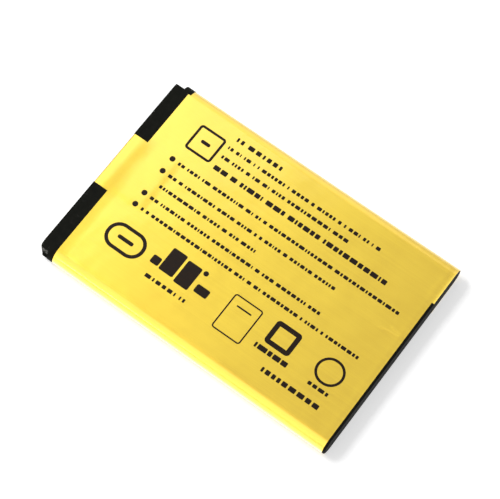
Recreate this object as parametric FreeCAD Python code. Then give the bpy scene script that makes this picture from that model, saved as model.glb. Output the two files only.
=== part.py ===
import FreeCAD, Part
import cmath
import math
import os

# A removable mobile phone battery: a sealed pouch cell and its protection board, held between two black
# moulded end caps by a foil label that wraps once round them.
# The battery lies flat: X runs along its length with the contact end at -X, Y across it, and Z up out of
# the labelled face. The origin is in the middle of the underside. All sizes are in millimetres.

Vector = FreeCAD.Vector

# Whole battery
length = 63.4
width = 43.0
thickness = 4.6

# Label: one sheet of foil, wrapped once round, its two edges meeting underneath
label_gauge = 0.1
label_edge_gap = 0.05
contact_strip = 3.17
plain_strip = 0.48
seam_from_side = 9.5
seam_gap = 0.2
tongue_width = 12.1
tongue_turn_down = 1.3
ear_width = 9.1
corner_relief_length = 0.55
corner_relief_width = 1.9

# Contact end cap
contact_cap_length = 7.0
cap_wall = 0.55
end_wall = 0.8
cap_edge_radius = 0.3
cap_corner_radius = 1.6
notch_ledge = 1.1
notch_length = 1.9
far_notch_depth = 1.5
near_notch_depth = 0.75

# Contact windows and pads, in the end wall between its near corner and the label's tongue
contact_names = ["positive", "temperature", "identity", "negative"]
contact_pitch = 3.2
contact_from_side = 3.7
contact_to_tongue = 2.15
window_width = 2.0
window_border = 1.0
window_flare = 0.25
pad_clearance = 0.1
pad_gauge = 0.4
pad_corner = 0.2

# Protection board, standing on edge behind the end wall, held by catches on the cap's floor and ceiling
board_far_room = 2.4
board_gauge = 0.6
board_clearance = 0.1
board_seat_gap = 0.05
catch_width = 1.6
catch_reach = 0.35
catch_run = 0.9
catch_inset = 1.1

# Pouch cell: drawn body, folded side seams, and a terrace where the tabs leave it
cell_gap = 0.2
cell_edge_radius = 0.8
side_seam_gauge = 0.35
side_seam_height = 2.8
side_seam_end = 1.5
terrace_reach = 3.4
terrace_gauge = 0.4
terrace_lift = 0.05
terrace_side_gap = 0.9
tab_width = 3.0
tab_gauge = 0.1
tab_bend = 0.15
tab_rise_gap = 0.9
tab_head_room = 0.55
tab_inside = 2.0
film_border = 0.7
film_gauge = 0.08
film_out = 0.5
film_in = 1.4

# Insulation inside the contact end
tape_gauge = 0.06
paper_gauge = 0.1
insulation_side_gap = 0.4

# Nickel leads from the board to the tabs
lead_gauge = 0.15
lead_width = 2.8
lead_bend = 0.15
lead_foot_inset = 0.35
lead_bridge_drop = 0.1
lead_head_room = 0.45

# Resettable fuse: a strip along the board, from the negative tab to the negative lead
fuse_body_length = 4.6
fuse_body_height = 1.8
fuse_body_depth = 0.7
fuse_leg_gauge = 0.15
fuse_leg_height = 1.0
fuse_leg_run = 0.7
fuse_head_room = 0.25
fuse_edge_radius = 0.15

# Packaged chips on the back of the board
chip_lead_gauge = 0.15
chip_lead_width = 0.3
chip_lead_bend = 0.08
chip_foot = 0.4
chip_lead_height = 0.5
chip_standoff = 0.1
chip_bevel = 0.15
mosfet_length = 4.4
mosfet_border = 0.15
mosfet_height = 0.95
mosfet_lead_pitch = 0.65
mosfet_span = 6.2
mosfet_lead_count = 4
protector_length = 2.9
protector_border = 0.2
protector_lead_reach = 0.65
protector_height = 0.95
protector_lead_pitch = 0.95
protector_lead_count = 3

# Small chip parts on the back of the board, in two rows
small_length = 1.6
small_width = 0.8
small_height = 0.45
thermistor_height = 0.7
termination_length = 0.3
termination_lip = 0.04
row_rise = 0.8

# Plain end cap and the pad that holds it to the cell
plain_cap_length = 1.4
plain_cap_edge_radius = 0.25
adhesive_gauge = 0.25
adhesive_pocket = 0.1
adhesive_border = 1.6
adhesive_height = 2.8

# Places along the battery that follow from the sizes above
contact_end = -length / 2
plain_end = length / 2
label_start = contact_end + contact_strip
label_stop = plain_end - plain_strip
cap_inner_end = contact_end + contact_cap_length
wall_inside = contact_end + end_wall
board_front = wall_inside + board_seat_gap
board_back = board_front + board_gauge
cell_front = cap_inner_end + cell_gap
terrace_end = cell_front - terrace_reach
tab_back = terrace_end - tab_rise_gap
tab_face = tab_back - tab_gauge
plain_cap_inner = plain_end - plain_cap_length
cell_back = plain_cap_inner + adhesive_pocket - adhesive_gauge

# Places across the battery and up its thickness
middle = thickness / 2
flat_half = width / 2 - thickness / 2
cavity_near = near_notch_depth + cap_wall - width / 2
cavity_far = width / 2 - far_notch_depth - cap_wall
cavity_ceiling = thickness - cap_wall
board_near = -flat_half
board_far = flat_half - board_far_room
board_bottom = cap_wall + board_clearance
board_top = cavity_ceiling - board_clearance
terrace_bottom = cap_wall + terrace_lift
terrace_top = terrace_bottom + terrace_gauge
tab_level = (terrace_bottom + terrace_top) / 2
tape_top = terrace_top + tape_gauge
tab_top = cavity_ceiling - tab_head_room
lead_foot_bottom = board_bottom + lead_foot_inset
lead_bridge_height = middle - lead_bridge_drop
lead_top = cavity_ceiling - lead_head_room
fuse_level = cavity_ceiling - fuse_head_room - fuse_body_height / 2
upper_row = middle + row_rise
lower_row = middle - row_rise

# Contacts and the label's features across the battery
first_contact = contact_from_side - width / 2
last_contact = first_contact + contact_pitch * (len(contact_names) - 1)
window_height = thickness - 2 * window_border
tongue_place = last_contact + window_width / 2 + contact_to_tongue + tongue_width / 2
seam_place = seam_from_side - width / 2
ear_start = width / 2 - ear_width
corner_relief_start = width / 2 - corner_relief_width
catch_places = [board_near + catch_inset, board_far - catch_inset]

# Chips that fill the height of the board but for a border
mosfet_width = board_top - board_bottom - 2 * mosfet_border
protector_span = board_top - board_bottom - 2 * protector_border
protector_width = protector_span - 2 * protector_lead_reach

# Row of parts along the back of the board, with equal gaps between them and at its ends
board_row = {
    "mosfets": mosfet_span,
    "positive lead": lead_width,
    "protector": protector_length,
    "negative lead": lead_width,
    "inner column": small_length,
    "outer column": small_length,
    "far column": small_length,
}
row_gap = (board_far - board_near - sum(board_row.values())) / (len(board_row) + 1)
row_place = {}
reached = board_near
for name, room in board_row.items():
    row_place[name] = reached + row_gap + room / 2
    reached += row_gap + room
mosfet_place = row_place["mosfets"]
protector_place = row_place["protector"]
inner_column = row_place["inner column"]
outer_column = row_place["outer column"]
far_column = row_place["far column"]
positive_lead_place = row_place["positive lead"]
negative_lead_place = row_place["negative lead"]
positive_tab_place = positive_lead_place
negative_tab_place = negative_lead_place + (lead_width + tab_width) / 2 + fuse_body_length + 2 * fuse_leg_run

# Room to spare on a cutting tool
beyond = 1.0


def block(x0, x1, y0, y1, z0, z1):
    """Block between two corners."""
    return Part.makeBox(x1 - x0, y1 - y0, z1 - z0, Vector(x0, y0, z0))


def stadium(x0, x1, half_width, bottom, top):
    """Bar along X whose section has flat faces and full-round sides."""
    radius = (top - bottom) / 2
    centre = (top + bottom) / 2
    flat = half_width - radius
    lower_near = Vector(x0, -flat, bottom)
    lower_far = Vector(x0, flat, bottom)
    upper_far = Vector(x0, flat, top)
    upper_near = Vector(x0, -flat, top)
    edges = [
        Part.makeLine(lower_near, lower_far),
        Part.Arc(lower_far, Vector(x0, half_width, centre), upper_far).toShape(),
        Part.makeLine(upper_far, upper_near),
        Part.Arc(upper_near, Vector(x0, -half_width, centre), lower_near).toShape(),
    ]
    return Part.Face(Part.Wire(edges)).extrude(Vector(x1 - x0, 0, 0))


def slab(x0, x1, inset):
    """Run of the battery's own section, drawn in all round by the inset."""
    return stadium(x0, x1, width / 2 - inset, inset, thickness - inset)


def edges_across(shape, x):
    """The edges that lie wholly in the plane across the battery at x."""
    return [edge for edge in shape.Edges if all(abs(v.X - x) < 1e-6 for v in edge.Vertexes)]


def strip_side(points, offset, bend_radius):
    """One side of a bent strip's section, as runs of two points and bends of three."""
    heads = [(b - a) / abs(b - a) for a, b in zip(points, points[1:])]
    pieces = []
    last = points[0] + 1j * heads[0] * offset
    for corner, before, after in zip(points[1:], heads, heads[1:]):
        turn = cmath.phase(after / before)
        left = math.copysign(1, turn)
        run = bend_radius * math.tan(abs(turn) / 2)
        centre = corner - before * run + 1j * before * left * bend_radius
        outward = (corner - centre) / abs(corner - centre)
        first = corner - before * run + 1j * before * offset
        final = corner + after * run + 1j * after * offset
        pieces.append([last, first])
        pieces.append([first, centre + outward * (bend_radius - left * offset), final])
        last = final
    pieces.append([last, points[-1] + 1j * heads[-1] * offset])
    return pieces


def bent_strip(points, gauge, bend, place, sweep):
    """Strip of sheet bent along a line of points at the middle of its gauge.

    The points are complex numbers in the plane of the section, place turns one into a position, bend is the
    inside radius of each bend, and sweep is the strip's width as a vector.
    """
    upper = strip_side(points, gauge / 2, bend + gauge / 2)
    lower = [piece[::-1] for piece in strip_side(points, -gauge / 2, bend + gauge / 2)[::-1]]
    tip = [upper[-1][-1], lower[0][0]]
    root = [lower[-1][-1], upper[0][0]]
    edges = []
    for piece in upper + [tip] + lower + [root]:
        corners = [place(point) for point in piece]
        if len(corners) == 2:
            edges.append(Part.makeLine(corners[0], corners[1]))
        else:
            edges.append(Part.Arc(corners[0], corners[1], corners[2]).toShape())
    return Part.Face(Part.Wire(edges)).extrude(sweep)


def strip_along(points, gauge, bend, centre, strip_width):
    """Strip bent in the plane along the battery (x + z * 1j), centred across the battery."""
    near = centre - strip_width / 2
    return bent_strip(points, gauge, bend, lambda p: Vector(p.real, near, p.imag), Vector(0, strip_width, 0))


def tongue_core():
    """What the label's tongue lies on: the contact end cap under it, with its rounded top edge."""
    near = tongue_place - tongue_width / 2 - beyond
    far = tongue_place + tongue_width / 2 + beyond
    core = block(contact_end + label_gauge, cap_inner_end, near, far, 0, thickness - label_gauge)
    edge = [e for e in edges_across(core, contact_end + label_gauge) if e.CenterOfMass.z > thickness - 2 * label_gauge]
    return core.makeFillet(cap_edge_radius, edge)


def tongue():
    """The label's tongue, across the top of the contact end cap and down over its end face."""
    half = label_gauge / 2
    points = [
        complex(label_start, thickness - half),
        complex(contact_end + half, thickness - half),
        complex(contact_end + half, thickness - tongue_turn_down),
    ]
    return strip_along(points, label_gauge, cap_edge_radius, tongue_place, tongue_width)


def label():
    """Foil sleeve with its tongue, its ear at the plain end, its cut corner and its butt joint underneath."""
    sleeve = slab(label_start, plain_end, 0).cut(slab(label_start - beyond, plain_end + beyond, label_gauge))
    sleeve = sleeve.cut(block(label_stop, plain_end + beyond, -width, ear_start, -beyond, thickness + beyond))
    relief_end = label_start + corner_relief_length
    sleeve = sleeve.cut(block(label_start - beyond, relief_end, corner_relief_start, width, -beyond, thickness + beyond))
    seam_near = seam_place - seam_gap / 2
    seam_far = seam_place + seam_gap / 2
    sleeve = sleeve.cut(block(label_start - beyond, plain_end + beyond, seam_near, seam_far, -beyond, middle))
    return sleeve.fuse(tongue()).removeSplitter()


def flared_window(place):
    """Tool for one contact window: a straight opening with a flared mouth at the end face."""
    bottom = middle - window_height / 2
    top = middle + window_height / 2
    near = place - window_width / 2
    far = place + window_width / 2

    def rectangle(x, grow):
        corners = [
            Vector(x, near - grow, bottom - grow),
            Vector(x, far + grow, bottom - grow),
            Vector(x, far + grow, top + grow),
            Vector(x, near - grow, top + grow),
        ]
        return Part.makePolygon(corners + corners[:1])

    straight = block(contact_end - beyond, wall_inside + beyond, near, far, bottom, top)
    mouth = Part.makeLoft([rectangle(contact_end, window_flare), rectangle(contact_end + window_flare, 0)], True)
    return straight.fuse(mouth)


def contact_places():
    """Middle of each contact across the battery, by its name."""
    return {name: first_contact + contact_pitch * i for i, name in enumerate(contact_names)}


def rounded_end(x_end, corner_radius):
    """Plan of the contact end cap as a block with its two end corners rounded."""
    plan = block(x_end, cap_inner_end + beyond, -width / 2, width / 2, 0, thickness)
    corners = [e for e in edges_across(plan, x_end) if abs(e.Vertexes[0].Z - e.Vertexes[1].Z) > thickness / 2]
    return plan.makeFillet(corner_radius, corners)


def board_catch(place, floor, up):
    """Wedge on the cap's floor or ceiling that the board snaps past; up is 1 on the floor and -1 above."""
    back = board_back + board_seat_gap
    profile = [
        Vector(back, place - catch_width / 2, floor),
        Vector(back, place - catch_width / 2, floor + up * catch_reach),
        Vector(back + catch_run, place - catch_width / 2, floor),
    ]
    return Part.Face(Part.makePolygon(profile + profile[:1])).extrude(Vector(0, catch_width, 0))


def contact_end_cap():
    """Moulded cap round the board, with notched corners and windows for the contacts."""
    step = label_start - label_edge_gap
    head = slab(contact_end, step, 0)
    head = head.makeFillet(cap_edge_radius, edges_across(head, contact_end))
    head = head.common(rounded_end(contact_end, cap_corner_radius))
    notch_end = contact_end + notch_length
    far_wall = width / 2 - far_notch_depth
    near_wall = near_notch_depth - width / 2
    head = head.cut(block(contact_end - beyond, notch_end, far_wall, width, notch_ledge, thickness + beyond))
    head = head.cut(block(contact_end - beyond, notch_end, -width, near_wall, notch_ledge, thickness + beyond))
    relief = slab(step, label_start + corner_relief_length - label_edge_gap, 0)
    relief_near = corner_relief_start + label_edge_gap
    relief = relief.common(block(contact_end, cap_inner_end, relief_near, width, -beyond, thickness + beyond))
    shoulder = slab(step, cap_inner_end, label_gauge)
    cap = head.fuse([relief, shoulder]).removeSplitter()
    recess_near = tongue_place - tongue_width / 2 - label_edge_gap
    recess_far = tongue_place + tongue_width / 2 + label_edge_gap
    recess_bottom = thickness - tongue_turn_down - label_edge_gap
    recess = block(contact_end - beyond, label_start, recess_near, recess_far, recess_bottom, thickness + beyond)
    cap = cap.cut(recess.cut(tongue_core()))
    cavity = slab(wall_inside, cap_inner_end + beyond, cap_wall)
    cavity = cavity.common(block(contact_end, cap_inner_end + beyond, cavity_near, cavity_far, 0, thickness))
    cap = cap.cut(cavity)
    for place in contact_places().values():
        cap = cap.cut(flared_window(place))
    catches = [board_catch(place, cap_wall, 1) for place in catch_places]
    catches += [board_catch(place, cavity_ceiling, -1) for place in catch_places]
    return cap.fuse(catches).removeSplitter()


def plain_end_cap():
    """Moulded cap at the other end, with a step for the label, a recess for its ear and a glue pocket."""
    step = label_stop + label_edge_gap
    head = slab(step, plain_end, 0)
    head = head.makeFillet(plain_cap_edge_radius, edges_across(head, plain_end))
    cap = head.fuse(slab(plain_cap_inner, step, label_gauge)).removeSplitter()
    ear_near = ear_start - label_edge_gap
    recess = block(label_stop, plain_end + beyond, ear_near, width, -beyond, thickness + beyond)
    cap = cap.cut(recess.cut(slab(label_stop - beyond, plain_end + 2 * beyond, label_gauge)))
    pocket = adhesive_outline(plain_cap_inner - beyond, plain_cap_inner + adhesive_pocket, label_edge_gap)
    return cap.cut(pocket)


def adhesive_outline(x0, x1, grow):
    """Block of the glue pad's outline, grown all round."""
    half = flat_half - adhesive_border + grow
    rise = adhesive_height / 2 + grow
    return block(x0, x1, -half, half, middle - rise, middle + rise)


def end_cap_adhesive():
    """Double-sided pad between the cell and the plain end cap."""
    return adhesive_outline(cell_back, plain_cap_inner + adhesive_pocket, 0)


def tab_path():
    """Line of a cell tab: out of the terrace, then up behind the board."""
    return [
        complex(terrace_end + tab_inside, tab_level),
        complex(tab_face + tab_gauge / 2, tab_level),
        complex(tab_face + tab_gauge / 2, tab_top),
    ]


def cell_tab(place):
    """One of the cell's two foil tabs."""
    return strip_along(tab_path(), tab_gauge, tab_bend, place, tab_width)


def film_body(place):
    """Outer form of the sealing film on both faces of a tab."""
    half = tab_width / 2 + film_border
    rise = tab_gauge / 2 + film_gauge
    return block(terrace_end - film_out, terrace_end + film_in, place - half, place + half, tab_level - rise, tab_level + rise)


def tab_film(place):
    """Sealing film round a tab."""
    return film_body(place).cut(cell_tab(place))


def cell_pouch():
    """Sealed pouch cell: a drawn body with rounded ends, its side seams folded up against it, and its terrace."""
    inner_half = width / 2 - label_gauge
    body = stadium(cell_front, cell_back, inner_half - side_seam_gauge, label_gauge, thickness - label_gauge)
    body = body.makeFillet(cell_edge_radius, edges_across(body, cell_front) + edges_across(body, cell_back))
    seam = slab(cell_front + side_seam_end, cell_back - side_seam_end, label_gauge)
    low = middle - side_seam_height / 2
    high = middle + side_seam_height / 2
    near_seam = seam.common(block(cell_front, cell_back, -width, -flat_half, low, high))
    far_seam = seam.common(block(cell_front, cell_back, flat_half, width, low, high))
    terrace_near = cavity_near + terrace_side_gap
    terrace_far = cavity_far - terrace_side_gap
    root = cell_front + 2 * cell_edge_radius
    terrace = block(terrace_end, root, terrace_near, terrace_far, terrace_bottom, terrace_top)
    pouch = body.fuse([near_seam, far_seam, terrace]).removeSplitter()
    for place in (positive_tab_place, negative_tab_place):
        pouch = pouch.cut(film_body(place)).cut(cell_tab(place))
    return pouch


def terrace_tape():
    """Insulating tape along the top of the terrace."""
    near = cavity_near + terrace_side_gap + insulation_side_gap
    far = cavity_far - terrace_side_gap - insulation_side_gap
    return block(terrace_end, cell_front, near, far, terrace_top, tape_top)


def shoulder_paper():
    """Insulating paper on the cell's front shoulder, above the terrace tape."""
    near = cavity_near + terrace_side_gap + insulation_side_gap
    far = cavity_far - terrace_side_gap - insulation_side_gap
    top = thickness - label_gauge - cell_edge_radius
    return block(cell_front - paper_gauge, cell_front, near, far, tape_top, top)


def circuit_board():
    """Protection board on edge, from the near end of the cap's cavity."""
    return block(board_front, board_back, board_near, board_far, board_bottom, board_top)


def contact_pad(place):
    """Gold-plated pad on the front of the board, set back in its window."""
    half = window_width / 2 - pad_clearance
    rise = window_height / 2 - pad_clearance
    pad = block(board_front - pad_gauge, board_front, place - half, place + half, middle - rise, middle + rise)
    corners = [e for e in pad.Edges if abs(e.Vertexes[0].X - e.Vertexes[1].X) > pad_gauge / 2]
    return pad.makeFillet(pad_corner, corners)


def lead(place, flag_face):
    """Nickel lead: a foot soldered up the board, a bridge, and a flag that the tab or fuse is welded to."""
    half = lead_gauge / 2
    points = [
        complex(board_back + half, lead_foot_bottom),
        complex(board_back + half, lead_bridge_height),
        complex(flag_face - half, lead_bridge_height),
        complex(flag_face - half, lead_top),
    ]
    return strip_along(points, lead_gauge, lead_bend, place, lead_width)


def resettable_fuse():
    """Fuse strip: a thick middle between two thin legs, one on the negative tab and one on the negative lead."""
    leg_front = tab_face - fuse_leg_gauge
    near = negative_lead_place - lead_width / 2
    far = negative_tab_place + tab_width / 2
    low = fuse_level - fuse_leg_height / 2
    legs = block(leg_front, tab_face, near, far, low, low + fuse_leg_height)
    centre = (negative_lead_place + lead_width / 2 + negative_tab_place - tab_width / 2) / 2
    depth_middle = (leg_front + tab_face) / 2
    body = block(
        depth_middle - fuse_body_depth / 2,
        depth_middle + fuse_body_depth / 2,
        centre - fuse_body_length / 2,
        centre + fuse_body_length / 2,
        fuse_level - fuse_body_height / 2,
        fuse_level + fuse_body_height / 2,
    )
    long_edges = [e for e in body.Edges if abs(e.Vertexes[0].Y - e.Vertexes[1].Y) > fuse_body_length / 2]
    return body.makeFillet(fuse_edge_radius, long_edges).fuse(legs).removeSplitter()


def chip_body(place, body_length, body_width, body_height):
    """Moulded chip body off the back of the board, bevelled round its top."""
    low = board_back + chip_standoff
    high = board_back + chip_standoff + body_height
    body = block(
        low, high, place - body_length / 2, place + body_length / 2, middle - body_width / 2, middle + body_width / 2
    )
    return body.makeChamfer(chip_bevel, edges_across(body, high))


def gull_lead(body_half, span_half, place, sweep):
    """One gull-wing lead in its own plane: out from the chip's side, down, and flat on the board."""
    half = chip_lead_gauge / 2
    points = [
        complex(body_half - chip_lead_gauge, chip_lead_height),
        complex(span_half - chip_foot, chip_lead_height),
        complex(span_half - chip_foot, half),
        complex(span_half, half),
    ]
    return bent_strip(points, chip_lead_gauge, chip_lead_bend, place, sweep)


def lead_offsets(count, pitch):
    """Places of the leads along a chip's side, about its middle."""
    return [(i - (count - 1) / 2) * pitch for i in range(count)]


def mosfet_pair():
    """Chip with the two switching transistors; its leads point along the board."""
    chip = chip_body(mosfet_place, mosfet_length, mosfet_width, mosfet_height)
    leads = []
    for offset in lead_offsets(mosfet_lead_count, mosfet_lead_pitch):
        for way in (-1, 1):
            low = middle + offset - chip_lead_width / 2

            def place(p, way=way, low=low):
                return Vector(board_back + p.imag, mosfet_place + way * p.real, low)

            leads.append(gull_lead(mosfet_length / 2, mosfet_span / 2, place, Vector(0, 0, chip_lead_width)))
    return chip.fuse(leads).removeSplitter()


def protection_chip():
    """Chip that watches the cell; its leads point up and down the board."""
    chip = chip_body(protector_place, protector_length, protector_width, protector_height)
    leads = []
    for offset in lead_offsets(protector_lead_count, protector_lead_pitch):
        for way in (-1, 1):
            near = protector_place + offset - chip_lead_width / 2

            def place(p, way=way, near=near):
                return Vector(board_back + p.imag, near, middle + way * p.real)

            leads.append(gull_lead(protector_width / 2, protector_span / 2, place, Vector(0, chip_lead_width, 0)))
    return chip.fuse(leads).removeSplitter()


def small_part(column, row, height):
    """Chip resistor or capacitor: a block with a thicker termination at each end, flat on the board."""
    lip = termination_lip
    part = block(
        board_back,
        board_back + height - lip,
        column - small_length / 2,
        column + small_length / 2,
        row - small_width / 2 + lip,
        row + small_width / 2 - lip,
    )
    ends = []
    for near in (column - small_length / 2, column + small_length / 2 - termination_length):
        far = near + termination_length
        ends.append(block(board_back, board_back + height, near, far, row - small_width / 2, row + small_width / 2))
    return part.fuse(ends).removeSplitter()


nodes = {
    "label": label(),
    "contact_end_cap": contact_end_cap(),
    "plain_end_cap": plain_end_cap(),
    "end_cap_adhesive": end_cap_adhesive(),
    "cell_pouch": cell_pouch(),
    "positive_tab": cell_tab(positive_tab_place),
    "negative_tab": cell_tab(negative_tab_place),
    "positive_tab_film": tab_film(positive_tab_place),
    "negative_tab_film": tab_film(negative_tab_place),
    "terrace_tape": terrace_tape(),
    "shoulder_paper": shoulder_paper(),
    "circuit_board": circuit_board(),
    "positive_lead": lead(positive_lead_place, tab_face),
    "negative_lead": lead(negative_lead_place, tab_face - fuse_leg_gauge),
    "resettable_fuse": resettable_fuse(),
    "mosfet_pair": mosfet_pair(),
    "protection_chip": protection_chip(),
    "supply_resistor": small_part(inner_column, upper_row, small_height),
    "supply_capacitor": small_part(inner_column, lower_row, small_height),
    "sense_resistor": small_part(outer_column, upper_row, small_height),
    "output_capacitor": small_part(outer_column, lower_row, small_height),
    "identity_resistor": small_part(far_column, upper_row, small_height),
    "thermistor": small_part(far_column, lower_row, thermistor_height),
}
for name, place in contact_places().items():
    nodes["contact_pad_" + name] = contact_pad(place)

os.makedirs("parts", exist_ok=True)
for name, shape in nodes.items():
    shape.exportStep("parts/" + name + ".step")
    box = shape.BoundBox
    print(f"{name:24s} valid {shape.isValid()} solids {len(shape.Solids)} volume {shape.Volume:9.3f}"
          f"  x {box.XMin:.2f} {box.XMax:.2f}  y {box.YMin:.2f} {box.YMax:.2f}  z {box.ZMin:.2f} {box.ZMax:.2f}")
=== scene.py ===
import math

import bpy
import numpy as np
from mathutils import Matrix, Vector


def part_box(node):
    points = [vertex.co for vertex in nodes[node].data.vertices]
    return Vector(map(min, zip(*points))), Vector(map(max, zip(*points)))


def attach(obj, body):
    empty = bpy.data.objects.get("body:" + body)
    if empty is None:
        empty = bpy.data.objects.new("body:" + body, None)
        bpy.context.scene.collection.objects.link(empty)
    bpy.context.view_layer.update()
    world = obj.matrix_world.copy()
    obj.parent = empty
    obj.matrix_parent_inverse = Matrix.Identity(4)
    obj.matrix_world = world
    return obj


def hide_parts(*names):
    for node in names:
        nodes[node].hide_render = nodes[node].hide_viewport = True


# A removable mobile phone battery on a white table: a gold foil label wrapped round a flat cell, between two
# black moulded end caps. Lengths here are millimetres until a mesh is made. X runs along the battery with the
# contact end at -X, and Z comes up out of the printed face.

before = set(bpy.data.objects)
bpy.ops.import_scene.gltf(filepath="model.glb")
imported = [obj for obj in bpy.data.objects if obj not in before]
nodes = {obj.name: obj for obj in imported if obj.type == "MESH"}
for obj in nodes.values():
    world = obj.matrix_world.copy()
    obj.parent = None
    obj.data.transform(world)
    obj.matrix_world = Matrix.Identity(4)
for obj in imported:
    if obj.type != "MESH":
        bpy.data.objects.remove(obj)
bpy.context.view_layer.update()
MM = 0.001
PER_METRE = 1 / MM

# Sizes of the battery that the label follows
length = 63.4
width = 43.0
thickness = 4.6
label_start = -28.53
label_stop = 31.22
label_gauge = 0.1
tongue_near = -5.05
tongue_far = 7.05
tongue_turn_down = 1.3
fold_radius = 0.4
ear_start = 12.4
corner_relief_end = -27.98
corner_relief_start = 19.6
seam_place = -12.0
seam_gap = 0.2

# Distances round the label, counted from the middle of the underside towards +Y
side_radius = thickness / 2
flat_half = width / 2 - side_radius
side_arc = math.pi * side_radius
top_start = flat_half + side_arc
near_turn_start = top_start + 2 * flat_half
round_the_sleeve = 4 * flat_half + 2 * side_arc

# Distances along the tongue, which reach past the end as the sheet folds down
fold_start = -length / 2 + fold_radius
fold_end = fold_start - fold_radius * math.pi / 2
tongue_tip = fold_end - (tongue_turn_down - fold_radius)

# How the foil lies below its nominal face, and the ink over and in it
foil_clearance = 0.016
long_wave = 0.004
short_wave = 0.002
ink_rise = 0.012
ink_foot = 0.01

# Where the foil's relief lies
crown_start = -30.4
ramp_run = (-30.2, -27.8)
dip_run = (-22.2, -20.6)
crease_run = (26.6, 30.9)
crease_band = (2.2, 5.0)


# Meshes


def spaced(start, *runs):
    """Grid lines from the start through every stop.

    A run is the longest cell that it allows and its stops; from one stop to the next the cells are equal.
    """
    lines = [[start]]
    for longest_cell, *stops in runs:
        for stop in stops:
            cells = max(1, math.ceil((stop - start) / longest_cell - 1e-6))
            lines.append(np.linspace(start, stop, cells + 1)[1:])
            start = stop
    return np.concatenate(lines)


def sheet_faces(inside):
    """Faces of a sheet with two skins over the marked cells of a grid.

    The outer skin takes the grid's own corners, the inner skin the same corners counted on by the size of the
    grid, and a wall joins them along each edge that only one marked cell uses.
    """
    rows, columns = inside.shape
    count = (rows + 1) * (columns + 1)
    corner = np.arange(count).reshape(rows + 1, columns + 1)
    outer = np.stack([corner[:-1, :-1], corner[:-1, 1:], corner[1:, 1:], corner[1:, :-1]], -1)[inside]
    edges = np.concatenate([outer[:, [side, (side + 1) % 4]] for side in range(4)])
    forward = edges[:, 0] * count + edges[:, 1]
    backward = edges[:, 1] * count + edges[:, 0]
    rim = edges[~np.isin(forward, backward)]
    walls = np.stack([rim[:, 1], rim[:, 0], rim[:, 0] + count, rim[:, 1] + count], -1)
    return np.concatenate([outer, outer[:, ::-1] + count, walls])


def make_piece(name, points, faces, material, crease=30):
    """Mesh object at the origin from points in millimetres; corners that no face uses are dropped."""
    used, faces = np.unique(faces, return_inverse=True)
    faces = faces.reshape(-1, 4)
    mesh = bpy.data.meshes.new(name)
    mesh.from_pydata((points[used] * MM).tolist(), [], faces.tolist())
    mesh.shade_smooth()
    mesh.set_sharp_from_angle(angle=math.radians(crease))
    mesh.materials.append(material)
    piece = bpy.data.objects.new(name, mesh)
    bpy.context.scene.collection.objects.link(piece)
    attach(piece, "root")
    return piece


def bump(value, centre, spread):
    """Bell curve: 1 at the centre, falling off over the spread."""
    return np.exp(-(((value - centre) / spread) ** 2))


def smooth_step(value, low, high):
    """0 below low and 1 above high, joined by the cubic 3t^2 - 2t^3."""
    share = np.clip((value - low) / (high - low), 0, 1)
    return share**2 * (3 - 2 * share)


def window(value, low, high, soft):
    """1 between low and high, falling off outside over the soft distance by tanh."""
    return 0.5 * (np.tanh((value - low) / soft) - np.tanh((value - high) / soft))


# The foil label


def sleeve_section(around):
    """Point (y, z) and outward normal of the battery's section at a distance round it.

    The distance is 0 in the middle of the underside and grows towards +Y. The section is a flat of twice
    flat_half, a half circle of side_radius, the same flat again on top, and a half circle back.
    """
    far_turn = np.clip((around - flat_half) / side_radius, 0, math.pi)
    near_turn = np.clip((around - near_turn_start) / side_radius, 0, math.pi)
    turn = far_turn + near_turn
    under = np.clip(around, -flat_half, flat_half)
    over = np.clip(around - top_start, 0, 2 * flat_half)
    last = np.clip(around - near_turn_start - side_arc, 0, flat_half)
    y = under - over + last + side_radius * np.sin(turn)
    z = side_radius - side_radius * np.cos(turn)
    return y, z, np.sin(turn), -np.cos(turn)


def tongue_relief(x, y):
    """Depth of the printed face as it comes down from the tongue.

    The face is sunk by the ramp's depth less a smooth cubic ramp that climbs to the tongue, and by the dip's
    depth less a shorter ramp behind the first. Each ramp is as wide as a tanh window in Y. Towards the fold
    the crown sinks by a square law.
    """
    ramp_depth = 0.048
    ramp_margin = 0.85
    dip_depth = 0.020
    dip_near = -4.0
    dip_far = 7.2
    crown_depth = 0.014
    crown_reach = 0.9
    ramp_wide = window(y, tongue_near - ramp_margin, tongue_far + ramp_margin, 0.8)
    dip_wide = window(y, dip_near, dip_far, 1.2)
    climb = ramp_wide * (1 - smooth_step(x, *ramp_run))
    rise = dip_wide * (1 - smooth_step(x, *dip_run))
    crown = crown_depth * np.clip((crown_start - x) / crown_reach, 0, 1) ** 2
    return ramp_depth * (1 - climb) + dip_depth * (1 - rise) + crown


def plain_end_relief(x, y):
    """Height of the printed face by the plain end.

    A low bell-shaped ridge crosses the label, and the ear's edge curls up by a square law. Two narrow creases
    run along the battery: each is a bell curve in Y round a slightly slanted line, times a tanh window in X.
    """
    ridge_height = 0.012
    ridge_place = 30.2
    ridge_spread = 0.5
    curl_height = 0.05
    curl_start = 31.0
    curl_reach = 0.7
    crease_height = 0.062
    crease_spread = 0.25
    ridge = ridge_height * bump(x, ridge_place, ridge_spread)
    curl = curl_height * np.clip((x - curl_start) / curl_reach, 0, 1) ** 2
    long_start, crease_stop = crease_run
    short_start = long_start + 1.6
    long_line = 3.0 + 0.08 * (x - long_start)
    short_line = 4.217 - 0.17 * (x - short_start)
    long_crease = bump(y, long_line, crease_spread) * window(x, long_start, crease_stop, 0.6)
    short_crease = bump(y, short_line, crease_spread) * window(x, short_start, crease_stop, 0.4)
    return ridge + curl + crease_height * (long_crease + short_crease)


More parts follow.
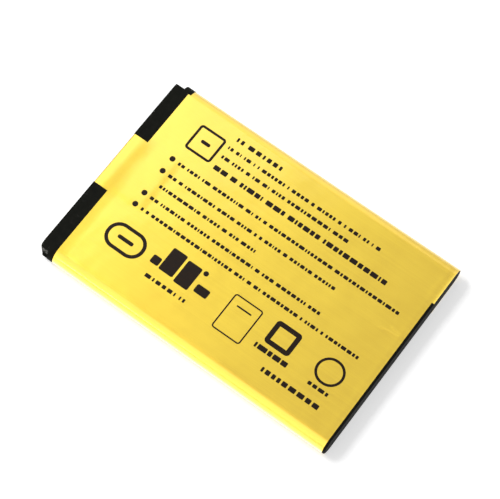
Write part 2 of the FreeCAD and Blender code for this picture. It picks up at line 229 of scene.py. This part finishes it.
def foil_depth(x, y, upward):
    """How far the foil lies below its nominal face.

    All round it is the clearance, deepened by slow waves, which are two products of sines and never rise past
    the clearance. The printed face adds its relief at the two ends, by how far the face looks up.
    """
    face = np.clip(upward, 0, 1)
    waves = long_wave * np.sin(0.52 * x + 0.9 * np.sin(0.31 * y)) * np.sin(0.43 * y + 0.7)
    waves = waves + short_wave * np.sin(1.37 * x + 0.5 * y) * np.sin(0.9 * y - 0.4 * x)
    least = foil_clearance + long_wave + short_wave
    return least + face * (tongue_relief(x, y) - plain_end_relief(x, y)) + waves


def label_grid():
    """Grid lines of the flat sheet, along the battery and round it, closer at the folds and the relief."""
    ramp_grid_end = -26.6
    dip_grid_start = -23.6
    dip_grid_end = -19.4
    crease_grid_start = 24.5
    usual_cell = 0.42
    crease_cell = 0.12
    along = spaced(
        tongue_tip,
        (0.25, fold_end),
        (0.06, fold_start),
        (0.3, crown_start),
        (0.2, label_start, corner_relief_end, ramp_grid_end),
        (0.5, dip_grid_start),
        (0.25, dip_grid_end),
        (0.75, crease_grid_start),
        (0.22, label_stop),
        (0.12, length / 2),
    )
    relief_turn = side_radius * math.asin((corner_relief_start - flat_half) / side_radius)
    over_centre = top_start + flat_half
    far_stops = [
        ear_start,
        flat_half,
        flat_half + relief_turn,
        top_start - relief_turn,
        top_start,
        over_centre - ear_start,
        over_centre - tongue_far,
        over_centre - crease_band[1],
    ]
    near_stops = [
        over_centre - tongue_near,
        near_turn_start,
        near_turn_start + side_arc,
        round_the_sleeve + seam_place - seam_gap / 2,
    ]
    around = spaced(
        seam_place + seam_gap / 2,
        (usual_cell, *far_stops),
        (crease_cell, over_centre - crease_band[0]),
        (usual_cell, *near_stops),
    )
    return along, around


def label_cells(along, around):
    """Which cells of the sheet the label takes: the sleeve less its cut corner, the ear and the tongue."""
    x = (along[1:] + along[:-1])[:, None] / 2
    y, z, _, _ = sleeve_section((around[1:] + around[:-1])[None, :] / 2)
    on_sleeve = (x > label_start) & (x < label_stop)
    cut_corner = (x < corner_relief_end) & (y > corner_relief_start)
    on_ear = (x > label_stop) & (y > ear_start)
    over_the_cap = (x < label_start) & (z > side_radius)
    on_tongue = over_the_cap & (y > tongue_near) & (y < tongue_far)
    return (on_sleeve & ~cut_corner) | on_ear | on_tongue


def folded_skin(distance, around, inset):
    """Points of one skin of the sheet, an inset below the nominal face.

    Round the battery it follows the section. Along it the tongue runs on past the sleeve, turns down through
    a quarter circle of fold_radius less the inset, and hangs straight down the end face.
    """
    y, z, normal_y, normal_z = sleeve_section(around)
    bend = np.clip((fold_start - distance) / fold_radius, 0, math.pi / 2)
    hang = np.maximum(fold_end - distance, 0)
    radius = fold_radius - inset
    x = np.where(bend > 0, fold_start - radius * np.sin(bend), distance)
    up = np.where(bend > 0, thickness - fold_radius + radius * np.cos(bend) - hang, z - inset * normal_z)
    return np.stack([x, y - inset * normal_y, up], -1).reshape(-1, 3)


def foil_label(material):
    """The label as one sheet with two skins, cut to its outline in the flat and then wrapped and folded."""
    along, around = label_grid()
    faces = sheet_faces(label_cells(along, around))
    distance, around = np.meshgrid(along, around, indexing="ij")
    y, _, _, upward = sleeve_section(around)
    outer = folded_skin(distance, around, foil_depth(distance, y, upward))
    inner = folded_skin(distance, around, label_gauge)
    return make_piece("foil_label", np.concatenate([outer, inner]), faces, material, crease=50)


# The print, as plain blocks, bars and outlines that stand for its lines and marks


def ink_solid(x, y):
    """Points and faces of a thin solid whose outer skin is the grid x, y laid on the label's printed face."""
    depth = foil_depth(x, y, np.ones_like(x))
    upper = np.stack([x, y, thickness - depth + ink_rise], -1).reshape(-1, 3)
    lower = upper - np.array([0, 0, ink_rise + ink_foot])
    faces = sheet_faces(np.ones((x.shape[0] - 1, x.shape[1] - 1), bool))
    return np.concatenate([upper, lower]), faces


def bar(left, right, middle_y, height, corner=0.32, end_points=7, lanes=2):
    """Bar with rounded corners.

    Along the bar its half height is that of a rounded rectangle: within one corner radius of an end it is the
    straight part plus a quarter circle. The end itself keeps a short straight edge.
    """
    longest_cell = 0.6
    end_edge = 0.01
    half = height / 2
    corner = min(half, corner)
    ends = corner * (1 - np.cos(np.linspace(0, math.pi / 2, end_points)))
    cells = max(2, math.ceil((right - left - 2 * corner) / longest_cell))
    run = np.linspace(left + corner, right - corner, cells + 1)[1:-1]
    x = np.concatenate([left + ends, run, right - ends[::-1]])
    inset = np.clip(corner - np.minimum(x - left, right - x), 0, corner)
    reach = half - corner + np.sqrt(corner**2 - inset**2) + end_edge
    across = np.linspace(1, -1, lanes + 1)
    return ink_solid(np.repeat(x[:, None], lanes + 1, 1), middle_y + reach[:, None] * across[None, :])


def outline(centre_x, centre_y, half_x, half_y, corner, stroke):
    """Closed frame of one stroke, which is a ring where the corner is its half size.

    The outline is the sum of a rectangle smaller by the corner radius and a circle of that radius, carried
    round by angle; the stroke is laid inside it.
    """
    least_radius = 0.02
    steps_round = 64
    angle = np.linspace(0, 2 * math.pi, steps_round + 1)
    quarter = np.floor(angle / (math.pi / 2) + 1e-9) % 4
    side_x = np.where((quarter == 0) | (quarter == 3), 1, -1)
    side_y = np.where(quarter < 2, 1, -1)
    x, y = [], []
    for inset in (stroke, 0):
        radius = max(corner - inset, least_radius)
        x.append(centre_x + side_x * (half_x - inset - radius) + radius * np.cos(angle))
        y.append(centre_y + side_y * (half_y - inset - radius) + radius * np.sin(angle))
    return ink_solid(np.stack(x, 1), np.stack(y, 1))


def disc(centre_x, centre_y, radius):
    """Solid dot, as a bar that is nearly all rounded ends."""
    return bar(centre_x - radius, centre_x + radius, centre_y, height=2 * radius, corner=0.95 * radius)


def block_row(left, right, middle_y, height, slit, seed):
    """Line of print as a row of small plain blocks of uneven length and one height.

    The blocks are parted by a narrow slit, and about every fourth time by a gap of three fifths of the height
    more; the lengths share out what the gaps leave of the line.
    """
    random = np.random.default_rng(seed)
    usual_pitch = 1.45 * height
    shortest, longest = 0.35, 1.65
    wide_share = 0.24
    wide_gap = 0.6 * height
    count = round((right - left) / usual_pitch)
    sizes = random.uniform(shortest, longest, count)
    gaps = slit + np.where(random.random(count) < wide_share, wide_gap, 0.0)
    gaps[-1] = 0.0
    sizes = sizes / sizes.sum() * (right - left - gaps.sum())
    starts = left + np.cumsum(sizes + gaps) - sizes - gaps
    return [
        bar(start, start + size, middle_y, height, corner=0.14, end_points=3, lanes=1)
        for start, size in zip(starts, sizes)
    ]


def far_lines():
    """A framed bar and four lines on the far part of the label."""
    return [
        outline(-19.9, 13.3, half_x=2.9, half_y=2.9, corner=0.7, stroke=0.5),
        bar(-20.9, -18.9, 13.3, height=0.7),
        *block_row(-15.7, -5.6, 17.5, height=0.9, slit=0.5, seed=3),
        *block_row(-16.1, 18.0, 15.2, height=0.7, slit=0.26, seed=11),
        *block_row(-16.0, 12.4, 13.0, height=0.7, slit=0.26, seed=12),
        *block_row(-15.9, 22.6, 10.5, height=0.95, slit=0.28, seed=13),
    ]


def middle_lines():
    """Five small lines across the middle, by their right ends and places in Y; four begin with a dot."""
    left = -21.5
    dot_x = -22.9
    dot_lift = 0.1
    dot_radius = 0.55
    line_ends = ((27.7, 7.05), (15.8, 4.05), (0.1, 1.35), (16.4, -1.45), (26.7, -4.2))
    undotted = 2
    first_seed = 20
    marks = []
    for line, (right, y) in enumerate(line_ends):
        marks += block_row(left, right, y, height=0.66, slit=0.24, seed=first_seed + line)
        if line != undotted:
            marks.append(disc(dot_x, y + dot_lift, dot_radius))
    return marks


def near_marks():
    """Plain marks on the near part of the label, from left to right, and the lines under and beside them."""
    pill = [
        outline(-19.9, -10.9, half_x=4.1, half_y=2.7, corner=2.6, stroke=0.7),
        bar(-21.6, -18.2, -10.9, height=0.75),
    ]
    tall_blocks = [
        bar(-14.1, -12.3, -10.7, height=1.7),
        bar(-12.0, -8.9, -9.2, height=5.0),
        bar(-8.4, -5.3, -9.6, height=5.0),
        disc(-4.4, -7.4, radius=0.5),
        bar(-4.4, -1.6, -10.6, height=1.7),
    ]
    tall_frame = [
        outline(5.2, -11.0, half_x=3.1, half_y=3.9, corner=0.6, stroke=0.28),
        bar(3.6, 6.8, -9.0, height=0.3),
    ]
    square_ring = outline(13.9, -9.1, half_x=2.7, half_y=2.5, corner=0.8, stroke=0.95)
    round_ring = outline(24.2, -9.3, half_x=2.8, half_y=2.7, corner=2.7, stroke=0.5)
    return [
        *pill,
        *tall_blocks,
        *tall_frame,
        square_ring,
        round_ring,
        *block_row(-13.1, -4.3, -14.0, height=0.75, slit=0.42, seed=31),
        *block_row(10.4, 17.4, -12.9, height=1.0, slit=0.26, seed=34),
        *block_row(22.1, 26.4, -13.1, height=0.7, slit=0.3, seed=33),
        *block_row(14.1, 26.4, -16.0, height=0.95, slit=0.4, seed=32),
    ]


def printed_marks(material):
    """All the label's print as one piece of ink."""
    marks = far_lines() + middle_lines() + near_marks()
    points = np.concatenate([mark_points for mark_points, _ in marks])
    starts = np.cumsum([0] + [len(mark_points) for mark_points, _ in marks[:-1]])
    faces = np.concatenate([mark_faces + start for (_, mark_faces), start in zip(marks, starts)])
    return make_piece("printed_marks", points, faces, material)


# Shader nodes


def fill(tree, node, values):
    """Sets a node's sockets, or links them where the value is another node's socket."""
    for socket, value in values.items():
        if isinstance(value, bpy.types.NodeSocket):
            tree.links.new(value, node.inputs[socket])
        else:
            node.inputs[socket].default_value = value
    return node


def add(tree, kind, values, **settings):
    """New shader node with its settings and its filled sockets."""
    made = tree.nodes.new("ShaderNode" + kind)
    for name, value in settings.items():
        setattr(made, name, value)
    return fill(tree, made, values)


def worked(tree, operation, *terms):
    """Result of arithmetic on one or two values or sockets."""
    return add(tree, "Math", dict(enumerate(terms)), operation=operation).outputs[0]


def place_on_piece(tree):
    """Object coordinates, in metres."""
    return add(tree, "TexCoord", {}).outputs["Object"]


def noise(tree, place, scale, detail, roughness):
    """Noise between 0 and 1 over a place."""
    values = {"Vector": place, "Scale": scale, "Detail": detail, "Roughness": roughness}
    return add(tree, "TexNoise", values).outputs["Fac"]


def ranged(tree, value, low, high):
    """A pattern's usual range, 0.3 to 0.7, spread over low to high."""
    spread = {"Value": value, "From Min": 0.3, "From Max": 0.7, "To Min": low, "To Max": high}
    return add(tree, "MapRange", spread).outputs["Result"]


def blended(tree, share, first, second):
    """Colour between two colours or sockets; a Mix node has them as inputs 6 and 7 and gives output 2."""
    ends = [end if isinstance(end, bpy.types.NodeSocket) else (*end, 1) for end in (first, second)]
    return add(tree, "Mix", {"Factor": share, 6: ends[0], 7: ends[1]}, data_type="RGBA").outputs[2]


def raised(tree, height, depth, **beneath):
    """Normal of a height pattern laid over the normal beneath; its full range is the depth in millimetres."""
    relief = {"Height": height, "Distance": depth * MM, "Strength": 1.0, **beneath}
    return add(tree, "Bump", relief).outputs[0]


# Patterns that several finishes share


def new_group(name, numbers, outputs):
    """Shader node group with named number inputs and value outputs, with its inputs and its end node."""
    group = bpy.data.node_groups.new(name, "ShaderNodeTree")
    for label, start in numbers.items():
        socket = group.interface.new_socket(name=label, in_out="INPUT", socket_type="NodeSocketFloat")
        socket.default_value = start
    for label in outputs:
        group.interface.new_socket(name=label, in_out="OUTPUT", socket_type="NodeSocketFloat")
    return group, group.nodes.new("NodeGroupInput").outputs, group.nodes.new("NodeGroupOutput")


def streaks_group():
    """Rolled or brushed streaks along X, and slow patches.

    The streaks are noise on coordinates divided by the streak's length along X and by its spacing across.
    """
    group, given, end = new_group("rolled_streaks", {"Length": 12, "Spacing": 0.1}, ["Streak", "Patch"])
    place = place_on_piece(group)
    per_length = worked(group, "DIVIDE", PER_METRE, given["Length"])
    per_spacing = worked(group, "DIVIDE", PER_METRE, given["Spacing"])
    stretch = add(group, "CombineXYZ", {"X": per_length, "Y": per_spacing, "Z": per_spacing}).outputs[0]
    stretched = add(group, "VectorMath", {0: place, 1: stretch}, operation="MULTIPLY").outputs[0]
    streak = noise(group, stretched, scale=1.0, detail=3.0, roughness=0.6)
    patch = noise(group, place, scale=150.0, detail=3.0, roughness=0.55)
    fill(group, end, {"Streak": streak, "Patch": patch})
    return group


def grain_group():
    """Even grain of a given size, with slow patches of eight times that size."""
    group, given, end = new_group("even_grain", {"Size": 0.1}, ["Grain", "Patch"])
    place = place_on_piece(group)
    per_size = worked(group, "DIVIDE", PER_METRE, given["Size"])
    slow = worked(group, "MULTIPLY", per_size, 1 / 8)
    even = noise(group, place, per_size, detail=2.0, roughness=0.5)
    patch = noise(group, place, slow, detail=3.0, roughness=0.6)
    fill(group, end, {"Grain": even, "Patch": patch})
    return group


def slope_group():
    """Slope down along X that fades out in Y.

    Its height is 1 before Start and 0 after Stop by the smooth cubic, times two such cubics in Y, which fall
    to 0 over the Fade beyond Near and beyond Far.
    """
    places = {"Start": 0.0, "Stop": 1.0, "Near": -1.0, "Far": 1.0, "Fade": 1.0}
    group, given, end = new_group("foil_slope", places, ["Height"])
    place = {0: place_on_piece(group), "Scale": PER_METRE}
    scaled = add(group, "VectorMath", place, operation="SCALE").outputs[0]
    axes = add(group, "SeparateXYZ", {0: scaled}).outputs
    before = worked(group, "SUBTRACT", given["Near"], given["Fade"])
    beyond = worked(group, "ADD", given["Far"], given["Fade"])
    steps = []
    for value, low, high in (
        (axes["X"], given["Stop"], given["Start"]),
        (axes["Y"], before, given["Near"]),
        (axes["Y"], beyond, given["Far"]),
    ):
        step = {"Value": value, "From Min": low, "From Max": high}
        steps.append(add(group, "MapRange", step, interpolation_type="SMOOTHSTEP").outputs["Result"])
    across = worked(group, "MULTIPLY", steps[1], steps[2])
    fill(group, end, {"Height": worked(group, "MULTIPLY", steps[0], across)})
    return group


def scuff_and_sheen_group():
    """Small worn places, and small patches of painted highlight: 1 where broken noise of a given size passes
    the level, with soft rims.
    """
    rim = 0.08
    group, given, end = new_group("small_scuffs_and_sheen", {"Size": 1.0, "Level": 0.6}, ["Scuff_and_sheen"])
    per_size = worked(group, "DIVIDE", PER_METRE, given["Size"])
    broken = noise(group, place_on_piece(group), per_size, detail=5.0, roughness=0.7)
    full = worked(group, "ADD", given["Level"], rim)
    scuff_and_sheen_range = {"Value": broken, "From Min": given["Level"], "From Max": full}
    mask = add(group, "MapRange", scuff_and_sheen_range, interpolation_type="SMOOTHSTEP").outputs["Result"]
    fill(group, end, {"Scuff_and_sheen": mask})
    return group


streaks = streaks_group()
grain = grain_group()
slope = slope_group()
scuff_and_sheen_masks = scuff_and_sheen_group()


def use_group(tree, group, **values):
    """Outputs of one use of a shared group with its own numbers or sockets."""
    used = tree.nodes.new("ShaderNodeGroup")
    used.node_tree = group
    return fill(tree, used, values).outputs


# Finishes


def parts_of(material):
    """A finish's node tree and its shader."""
    return material.node_tree, material.node_tree.nodes["Principled BSDF"]


def dress(material, **values):
    """Sets or links the sockets of a finish's shader, whose names have underscores here for their spaces."""
    tree, shader = parts_of(material)
    fill(tree, shader, {name.replace("_", " "): value for name, value in values.items()})


def new_finish(name, **constants):
    """Material with its shader's plain numbers set on the shader's own sockets."""
    material = bpy.data.materials.new(name)
    material.use_nodes = True
    dress(material, **constants)
    return material


def streaked_metal(name, light, dark, roughness, streak_length, spacing, depth, **constants):
    """Rolled or brushed metal: two tones by streak and patch, uneven gloss and fine lines in relief."""
    unevenness = 0.05
    material = new_finish(name, Metallic=1.0, **constants)
    tree = material.node_tree
    lines = use_group(tree, streaks, Length=streak_length, Spacing=spacing)
    both = worked(tree, "ADD", lines["Streak"], lines["Patch"])
    tone = add(tree, "MapRange", {"Value": both, "From Min": 0.75, "From Max": 1.25}).outputs["Result"]
    dress(
        material,
        Base_Color=blended(tree, tone, dark, light),
        Roughness=ranged(tree, lines["Streak"], roughness - unevenness, roughness + unevenness),
        Normal=raised(tree, lines["Streak"], depth),
    )
    return material


def grained_finish(name, light, dark, roughness, size, depth, **constants):
    """Moulded, coated or woven stuff: two tones by patch, uneven gloss and an even grain in relief."""
    unevenness = 0.07
    material = new_finish(name, **constants)
    tree = material.node_tree
    even = use_group(tree, grain, Size=size)
    dress(
        material,
        Base_Color=blended(tree, ranged(tree, even["Patch"], 0.0, 1.0), dark, light),
        Roughness=ranged(tree, even["Patch"], roughness - unevenness, roughness + unevenness),
        Normal=raised(tree, even["Grain"], depth),
    )
    return material


def coloured_over(material, mask, colour, metal=False):
    """Lays another colour over a finish where a mask is 1, as metal if so asked."""
    tree, shader = parts_of(material)
    beneath = shader.inputs["Base Color"].links[0].from_socket
    dress(material, Base_Color=blended(tree, mask, beneath, colour))
    if metal:
        dress(material, Metallic=mask)


def painted_highlight_at(material, place, radius, size, level, colour):
    """Painted highlight as grey scuff-like patches round a place in millimetres: from there to the radius,
    the noise must pass a rising level.
    """
    tree = material.node_tree
    ends = {0: place_on_piece(tree), 1: Vector(place) * MM}
    reach = add(tree, "VectorMath", ends, operation="DISTANCE").outputs["Value"]
    rise = {"Value": reach, "From Min": 0.0, "From Max": radius * MM, "To Min": level, "To Max": 0.9}
    rising = add(tree, "MapRange", rise).outputs["Result"]
    coloured_over(material, use_group(tree, scuff_and_sheen_masks, Size=size, Level=rising)["Scuff_and_sheen"], colour)


def metal_ended(name, light, dark, node, axis, share):
    """Finish of a board part whose ends or leads, beyond a share of its half length, are tinned."""
    tin = (0.62, 0.62, 0.60)
    material = grained_finish(name, light, dark, roughness=0.45, size=0.05, depth=0.002)
    tree = material.node_tree
    low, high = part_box(node)
    middle = (low[axis] + high[axis]) / 2
    reach = share * (high[axis] - low[axis]) / 2
    along = add(tree, "SeparateXYZ", {0: place_on_piece(tree)}).outputs[axis]
    away = worked(tree, "ABSOLUTE", worked(tree, "SUBTRACT", along, middle))
    coloured_over(material, worked(tree, "GREATER_THAN", away, reach), tin, metal=True)
    return material


def board_finish():
    """Green solder mask, with the bare fibreglass on the board's cut edges."""
    light = (0.02, 0.12, 0.05)
    dark = (0.012, 0.08, 0.03)
    fibreglass = (0.42, 0.36, 0.17)
    material = grained_finish("board_laminate", light, dark, roughness=0.35, size=0.15, depth=0.003)
    tree = material.node_tree
    facing = add(tree, "TexCoord", {}).outputs["Normal"]
    along = add(tree, "SeparateXYZ", {0: facing}).outputs[0]
    edge = worked(tree, "LESS_THAN", worked(tree, "ABSOLUTE", along), 0.5)
    coloured_over(material, edge, fibreglass)
    return material


def black_finish():
    """Moulded black plastic with a fine matt grain, faint scuff marks, and a painted highlight: grey patches
    at the near corner stand for light caught on the notch's facets.
    """
    light = (0.0130, 0.0130, 0.0105)
    dark = (0.0085, 0.0090, 0.0072)
    faint_grey = (0.020, 0.020, 0.018)
    painted_highlight_grey = (0.17, 0.17, 0.15)
    near_corner = (-31.0, -20.8, 3.2)
    material = grained_finish("black_plastic", light, dark, roughness=0.5, size=0.12, depth=0.012, IOR=1.06)
    faint = use_group(material.node_tree, scuff_and_sheen_masks, Size=1.6, Level=0.60)["Scuff_and_sheen"]
    coloured_over(material, faint, faint_grey)
    # Painted highlight: grey patches at the near corner stand for light caught on the notch's facets and
    # edges.
    painted_highlight_at(material, near_corner, radius=3.4, size=0.5, level=0.36, colour=painted_highlight_grey)
    return material


def foil_finish():
    """Gold metallised film: fine brushed lines along the battery under a clear coat.

    Its relief adds to the slopes of the sheet where it goes down from the tongue and where it dips again, and
    lets the whole sheet lie a little slack. The clear coat has the same relief as the metal.
    """
    material = streaked_metal(
        "gold_foil",
        light=(0.632, 0.431, 0.028),
        dark=(0.586, 0.391, 0.023),
        roughness=0.36,
        streak_length=14.0,
        spacing=0.12,
        depth=0.0012,
        Coat_Weight=1.0,
        Coat_Roughness=0.16,
    )
    tree, shader = parts_of(material)
    lines = shader.inputs["Normal"].links[0].from_socket
    ramp = use_group(tree, slope, Start=-30.1, Stop=-26.4, Near=-22.0, Far=7.4, Fade=1.2)["Height"]
    dip = use_group(tree, slope, Start=-22.4, Stop=-20.4, Near=-3.6, Far=6.8, Fade=1.6)["Height"]
    slack = use_group(tree, grain, Size=5.0)["Grain"]
    folds = raised(tree, dip, 0.035, Normal=raised(tree, ramp, 0.12, Normal=lines))
    folds = raised(tree, slack, 0.045, Normal=folds)
    dress(material, Normal=folds, Coat_Normal=folds)
    return material


def ink_finish():
    """Dark brown ink with a little gloss."""
    return grained_finish(
        "printing_ink",
        light=(0.014, 0.006, 0.0015),
        dark=(0.008, 0.0035, 0.001),
        roughness=0.45,
        size=0.12,
        depth=0.001,
        Specular_IOR_Level=0.12,
    )


# Camera, light and table


def set_camera():
    """Camera at the photograph's viewing angle: azimuth, tilt from straight down and roll about its axis."""
    azimuth, tilt, roll = (math.radians(angle) for angle in (31.566, 22.722, 4.952))
    target = np.array([-1.894, 2.755, 0.0])
    distance = 378.63
    focal_length = 149.184
    back = np.array([math.sin(azimuth) * math.sin(tilt), -math.cos(azimuth) * math.sin(tilt), math.cos(tilt)])
    level = np.array([math.cos(azimuth), math.sin(azimuth), 0.0])
    rise = np.cross(back, level)
    right = math.cos(roll) * level + math.sin(roll) * rise
    up = math.cos(roll) * rise - math.sin(roll) * level
    camera = bpy.data.objects.new("camera", bpy.data.cameras.new("camera"))
    camera.data.lens = focal_length
    camera.data.sensor_width = 36.0
    camera.data.clip_start = 0.01
    camera.data.clip_end = 10.0
    place = (target + back * distance) * MM
    columns = np.column_stack([right, up, back])
    camera.matrix_world = Matrix.Translation(Vector(place)) @ Matrix(columns.tolist()).to_4x4()
    bpy.context.scene.collection.objects.link(camera)
    bpy.context.scene.camera = camera


def place_lamp(name, place, behind, size, radiance, mirrored=True, tint=(1, 1, 1)):
    """Rectangular lamp at a place in metres, shining away from the direction behind it.

    Its power gives the stated radiance over its area. A mirrored lamp is a card that shows only in the
    battery's gloss; any other lamp gives light and shadow only.
    """
    size_x, size_y = size
    lamp = bpy.data.lights.new(name, "AREA")
    lamp.shape = "RECTANGLE"
    lamp.size = size_x
    lamp.size_y = size_y
    lamp.energy = radiance * math.pi * size_x * size_y
    lamp.color = tint
    box = bpy.data.objects.new(name, lamp)
    box.location = place
    box.rotation_mode = "QUATERNION"
    box.rotation_quaternion = behind.to_track_quat("Z", "Y")
    box.visible_camera = False
    box.visible_diffuse = not mirrored
    box.visible_glossy = mirrored
    bpy.context.scene.collection.objects.link(box)


def softbox(name, azimuth, elevation, distance, **lamp):
    """Lamp facing the battery from an azimuth and an elevation in degrees, at a distance in metres."""
    heading = math.radians(azimuth)
    height = math.radians(elevation)
    level = math.cos(height)
    direction = Vector((math.cos(heading) * level, math.sin(heading) * level, math.sin(height)))
    place_lamp(name, direction * distance, direction, **lamp)


def set_lights():
    """The key light, what the foil mirrors from round about, and a card on the table by each long side."""
    cool = (0.66, 0.86, 1.0)
    softbox("key", azimuth=187, elevation=55, distance=0.6, size=(0.3, 0.2), radiance=11.4, mirrored=False)
    softbox("window", azimuth=146, elevation=55, distance=0.3, size=(0.19, 0.11), radiance=2.3, tint=cool)
    softbox("side_window", azimuth=186, elevation=55, distance=0.3, size=(0.14, 0.14), radiance=3.7)
    softbox("back_panel", azimuth=110, elevation=29, distance=0.3, size=(0.16, 0.23), radiance=1.05)
    softbox("front_panel", azimuth=-104, elevation=37, distance=0.5, size=(0.4, 0.6), radiance=1.4)
    softbox("front_strip", azimuth=-112, elevation=14, distance=0.48, size=(0.16, 0.04), radiance=8.0)
    down = Vector((0, 0, -1))
    card_reach = 0.0515
    card_lift = 0.0003
    for name, side, radiance in (("front_card", -1, 1.5), ("far_card", 1, 0.35)):
        place = Vector((0, side * card_reach, card_lift))
        place_lamp(name, place, down, size=(0.16, 0.06), radiance=radiance)


def seen_directly(tree):
    """1 for camera, mirror and glass rays, which see the white background."""
    rays = add(tree, "LightPath", {}).outputs
    seen = worked(tree, "MAXIMUM", rays["Is Camera Ray"], rays["Is Glossy Ray"])
    return worked(tree, "MAXIMUM", seen, rays["Is Transmission Ray"])


def white_room():
    """World that gives a plain soft light and shows white wherever it is seen."""
    soft_light = 0.42
    world = bpy.data.worlds.new("room")
    bpy.context.scene.world = world
    world.use_nodes = True
    tree = world.node_tree
    level = add(tree, "MapRange", {"Value": seen_directly(tree), "To Min": soft_light, "To Max": 1.0})
    white = {"Color": (1, 1, 1, 1), "Strength": level.outputs["Result"]}
    fill(tree, tree.nodes["Background"], white)


def white_table():
    """Wide white table under the battery; what is seen of it is lifted to white where no shadow falls."""
    half = 1.5
    z = -1e-5
    lift = 0.5
    material = new_finish("white_table")
    tree, shader = parts_of(material)
    tree.nodes.remove(shader)
    even = use_group(tree, grain, Size=4.0)
    colour = blended(tree, ranged(tree, even["Patch"], 0.0, 1.0), (0.80, 0.80, 0.80), (0.81, 0.81, 0.81))
    matt = add(tree, "BsdfDiffuse", {"Color": colour})
    strength = worked(tree, "MULTIPLY", seen_directly(tree), lift)
    glow = add(tree, "Emission", {"Color": (1, 1, 1, 1), "Strength": strength})
    both = add(tree, "AddShader", {0: matt.outputs[0], 1: glow.outputs[0]})
    fill(tree, tree.nodes["Material Output"], {"Surface": both.outputs[0]})
    mesh = bpy.data.meshes.new("table")
    corners = [(-half, -half, z), (half, -half, z), (half, half, z), (-half, half, z)]
    mesh.from_pydata(corners, [], [(0, 1, 2, 3)])
    mesh.materials.append(material)
    table = bpy.data.objects.new("table", mesh)
    bpy.context.scene.collection.objects.link(table)


# Making


set_camera()
white_room()
white_table()
set_lights()

gold = foil_finish()
ink = ink_finish()
sleeve = foil_label(gold)
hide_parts("label")
printed_marks(ink)

black = black_finish()
plated = streaked_metal(
    "contact_gold", (0.90, 0.62, 0.24), (0.84, 0.55, 0.20),
    roughness=0.22, streak_length=1.0, spacing=0.05, depth=0.001,
)
pouch = streaked_metal(
    "pouch_laminate", (0.78, 0.79, 0.80), (0.68, 0.69, 0.70),
    roughness=0.38, streak_length=4.0, spacing=0.2, depth=0.003,
)
aluminium = streaked_metal(
    "aluminium_foil", (0.86, 0.87, 0.88), (0.76, 0.77, 0.78),
    roughness=0.32, streak_length=2.0, spacing=0.06, depth=0.002,
)
nickel = streaked_metal(
    "nickel", (0.66, 0.61, 0.54), (0.56, 0.52, 0.46),
    roughness=0.28, streak_length=1.5, spacing=0.05, depth=0.002,
)
film = grained_finish(
    "sealing_film", (0.72, 0.70, 0.62), (0.60, 0.58, 0.50),
    roughness=0.5, size=0.1, depth=0.002,
)
tape = grained_finish(
    "amber_tape", (0.62, 0.27, 0.03), (0.50, 0.20, 0.02),
    roughness=0.3, size=0.15, depth=0.002, Coat_Weight=0.5,
)
paper = grained_finish(
    "insulating_paper", (0.74, 0.62, 0.38), (0.62, 0.50, 0.29),
    roughness=0.75, size=0.08, depth=0.006,
)
fuse = grained_finish(
    "fuse_strip", (0.55, 0.46, 0.12), (0.44, 0.36, 0.09),
    roughness=0.45, size=0.1, depth=0.003,
)
foam = grained_finish(
    "adhesive_foam", (0.70, 0.69, 0.66), (0.60, 0.59, 0.56),
    roughness=0.8, size=0.12, depth=0.01,
)
board = board_finish()

finish_of = {
    "contact_end_cap": black,
    "plain_end_cap": black,
    "cell_pouch": pouch,
    "end_cap_adhesive": foam,
    "positive_tab": aluminium,
    "negative_tab": nickel,
    "positive_lead": nickel,
    "negative_lead": nickel,
    "positive_tab_film": film,
    "negative_tab_film": film,
    "terrace_tape": tape,
    "shoulder_paper": paper,
    "circuit_board": board,
    "resettable_fuse": fuse,
    "contact_pad_positive": plated,
    "contact_pad_temperature": plated,
    "contact_pad_identity": plated,
    "contact_pad_negative": plated,
}
chip_tones = ((0.030, 0.030, 0.032), (0.018, 0.018, 0.020))
ceramic_tones = ((0.42, 0.27, 0.15), (0.34, 0.21, 0.11))
finish_of["mosfet_pair"] = metal_ended("mosfet_mould", *chip_tones, "mosfet_pair", axis=1, share=0.71)
finish_of["protection_chip"] = metal_ended("chip_mould", *chip_tones, "protection_chip", axis=2, share=0.552)
for node in ("supply_resistor", "sense_resistor", "identity_resistor"):
    finish_of[node] = metal_ended(node + "_body", *chip_tones, node, axis=1, share=0.625)
for node in ("thermistor", "supply_capacitor", "output_capacitor"):
    finish_of[node] = metal_ended(node + "_body", *ceramic_tones, node, axis=1, share=0.625)
for name, material in finish_of.items():
    slots = nodes[name].data.materials
    slots.clear()
    slots.append(material)

bpy.context.scene.view_settings.view_transform = "Standard"
